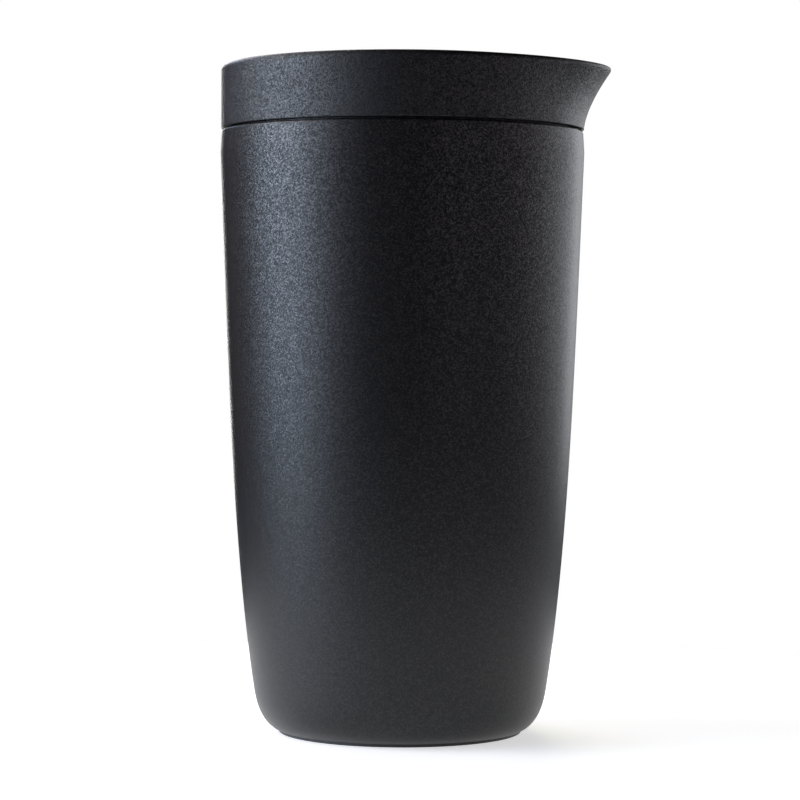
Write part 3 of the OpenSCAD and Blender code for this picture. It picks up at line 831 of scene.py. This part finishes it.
upper_top, step_in = plate_low + PLATE_T, brim_in - PLATE_T
upper_plate = turned(
    "upper_plate",
    [(rod_r, plate_low), (brim_in - 0.3, plate_low), (brim_in, plate_low + 0.3)]
    + [(brim_in, brim_low), (brim_r, brim_low), (brim_r, brim_top), (step_in + 0.3, brim_top)]
    + [(step_in, brim_top - 0.3), (step_in, upper_top), (rod_r, upper_top)],
    edge=0.08,
)
upper_holes = ((10, bore_r * 0.62, bore_r * 0.11), (6, bore_r * 0.35, bore_r * 0.07))
punched(upper_plate, upper_holes, plate_low - 1, brim_top)
lower_plate = turned(
    "lower_plate",
    [(rod_r, lower_base), (lower_r - lower_t, lower_base), (lower_r - lower_t, lower_top - LIP_H)]
    + [(lower_r, lower_top - LIP_H), (lower_r, lower_top - 0.5), (lower_r - 0.15, lower_top - 0.15)]
    + [(lower_r - 0.5, lower_top), (rod_r, lower_top)],
    edge=0.08,
)
lower_holes = ((12, lower_r * 0.76, lower_r * 0.12), (6, lower_r * 0.46, lower_r * 0.11))
punched(lower_plate, lower_holes, lower_low - 1, lower_top + 1)
for piece, solid in ((upper_plate, "spring_plate"), (lower_plate, "cross_plate")):
    wear(piece, pressed_steel)
    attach(piece, "plunger")
    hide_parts(solid)

# ---------------------------------------------------------------------------
# Coil round the filter: spring wire wound in a close helix and joined to a ring,
# which presses the screen's edge outwards against the vessel.
# ---------------------------------------------------------------------------
WIRE_R, COILS, POINTS = 0.25, 128, 12
coil_r = (coil_top - coil_low) / 2
coil_ring = span("mesh_screen")[2] - 0.25 - coil_r
winding_r = coil_r - WIRE_R - 0.01
bpy.ops.object.select_all(action="DESELECT")
bpy.ops.curve.primitive_bezier_circle_add(radius=coil_ring * MM, location=AXIS)
edge_coil = bpy.context.object
edge_coil.name = "edge_coil"
edge_coil.data.splines.clear()
wire = edge_coil.data.splines.new("POLY")
wire.points.add(COILS * POINTS - 1)
wire.use_cyclic_u = True
for i, point in enumerate(wire.points):
    round_ring = 2 * math.pi * i / (COILS * POINTS)
    round_wire = 2 * math.pi * i / POINTS
    reach = (coil_ring + winding_r * math.cos(round_wire)) * MM
    height = (coil_low + coil_r + winding_r * math.sin(round_wire)) * MM
    point.co = (reach * math.cos(round_ring), reach * math.sin(round_ring), height, 1)
edge_coil.data.dimensions = "3D"
edge_coil.data.bevel_depth = WIRE_R * MM
edge_coil.data.bevel_resolution = 1
bpy.ops.object.convert(target="MESH")
edge_coil = bpy.context.object
bpy.ops.object.shade_smooth_by_angle(angle=math.radians(60))
spring_wire = brushed_in_rings("drawn_spring_wire", "#C2C3C6", 0.22, 1500.0)
wear(edge_coil, spring_wire)
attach(edge_coil, "plunger")
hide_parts("edge_spring")

# ---------------------------------------------------------------------------
# Screen of the filter: fine stainless wire cloth, cut round and turned up at the
# edge round the coil. It is clamped between the two plates.
# ---------------------------------------------------------------------------
screen_low, screen_top, screen_r = span("mesh_screen")
CLOTH_T = 0.25
wire_screen = turned(
    "wire_screen",
    [(rod_r, screen_low), (screen_r - 0.5, screen_low), (screen_r - 0.15, screen_low + 0.15)]
    + [(screen_r, screen_low + 0.5), (screen_r, screen_top), (screen_r - CLOTH_T, screen_top)]
    + [(screen_r - CLOTH_T, screen_low + 0.6), (screen_r - 0.6, screen_low + CLOTH_T)]
    + [(rod_r, screen_low + CLOTH_T)],
)
wire_cloth, tree, shader, place = begin("woven_stainless_wire_cloth", "#B9BABD", 0.34, 1.0)
parts = node(tree, "ShaderNodeSeparateXYZ", links={"Vector": place})
# Plain weave. The real wires are 0.25 mm apart; they are drawn 0.6 mm apart to show.
WIRE_PITCH, CRIMP = 0.6, 0.35
runs = []
for across, along in (("X", "Y"), ("Y", "X")):
    lane = maths(tree, "MULTIPLY", parts.outputs[across], 1 / (WIRE_PITCH * MM))
    row = maths(tree, "MULTIPLY", parts.outputs[along], 1 / (WIRE_PITCH * MM))
    swell = maths(tree, "SINE", maths(tree, "MULTIPLY", lane, math.pi))
    shifted = maths(tree, "ADD", maths(tree, "FLOOR", lane), row)
    phase = maths(tree, "MULTIPLY_ADD", shifted, math.pi, math.pi * len(runs))
    crimp = maths(tree, "MULTIPLY_ADD", maths(tree, "SINE", phase), CRIMP, 1.0)
    runs.append(maths(tree, "MULTIPLY", crimp, maths(tree, "ABSOLUTE", swell)))
weave_and_shade = maths(tree, "MAXIMUM", *runs)
# Painted shade: the cloth's colour darkens in the gaps between the wires and where each wire dips
# under the next.
feed(tree, shader, Base_Color=blend(tree, "#2A2B2D", "#C2C3C6", weave_and_shade))
emboss(tree, shader, weave_and_shade, 0.8, 0.1)
wear(wire_screen, wire_cloth)
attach(wire_screen, "plunger")
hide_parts("mesh_screen")

# ---------------------------------------------------------------------------
# Hub nut: a turned hexagon with a broad flange, screwed on the rod's end under the
# filter. It is undone to take the plates and the screen apart for washing.
# ---------------------------------------------------------------------------
nut_low, nut_top = span("hub_nut")[:2]
NUT_R, FLANGE_R, FLANGE_T = rod_r + 3.5, rod_r + 6.5, 1.2
flange_low = nut_top - FLANGE_T
hub_nut = drawn(
    "hub_nut_hex",
    arc(0, 0, NUT_R, 0, 300, 5),
    nut_low,
    flange_low + 0.2,
)
flat_r = NUT_R * math.cos(math.radians(30))
rounding = turned(
    "nut_rounding",
    [(0, nut_low - 0.01), (flat_r - 0.2, nut_low - 0.01), (NUT_R + 0.3, nut_low + 0.7)]
    + [(NUT_R + 0.3, nut_top), (0, nut_top)],
    steps=72,
)
combine(hub_nut, rounding, "INTERSECT")
flange = turned(
    "nut_flange",
    [(0, flange_low), (FLANGE_R - 0.3, flange_low), (FLANGE_R, flange_low + 0.3)]
    + [(FLANGE_R, nut_top - 0.2), (FLANGE_R - 0.2, nut_top), (0, nut_top)],
    steps=72,
)
combine(hub_nut, flange, "UNION")
nut_bore = turned(
    "nut_bore",
    [(0, nut_low - 1), (rod_r, nut_low - 1), (rod_r, nut_top + 1), (0, nut_top + 1)],
    steps=48,
)
combine(hub_nut, nut_bore)
wear(hub_nut, pressed_steel)
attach(hub_nut, "plunger")
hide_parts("hub_nut")

bpy.context.view_layer.update()
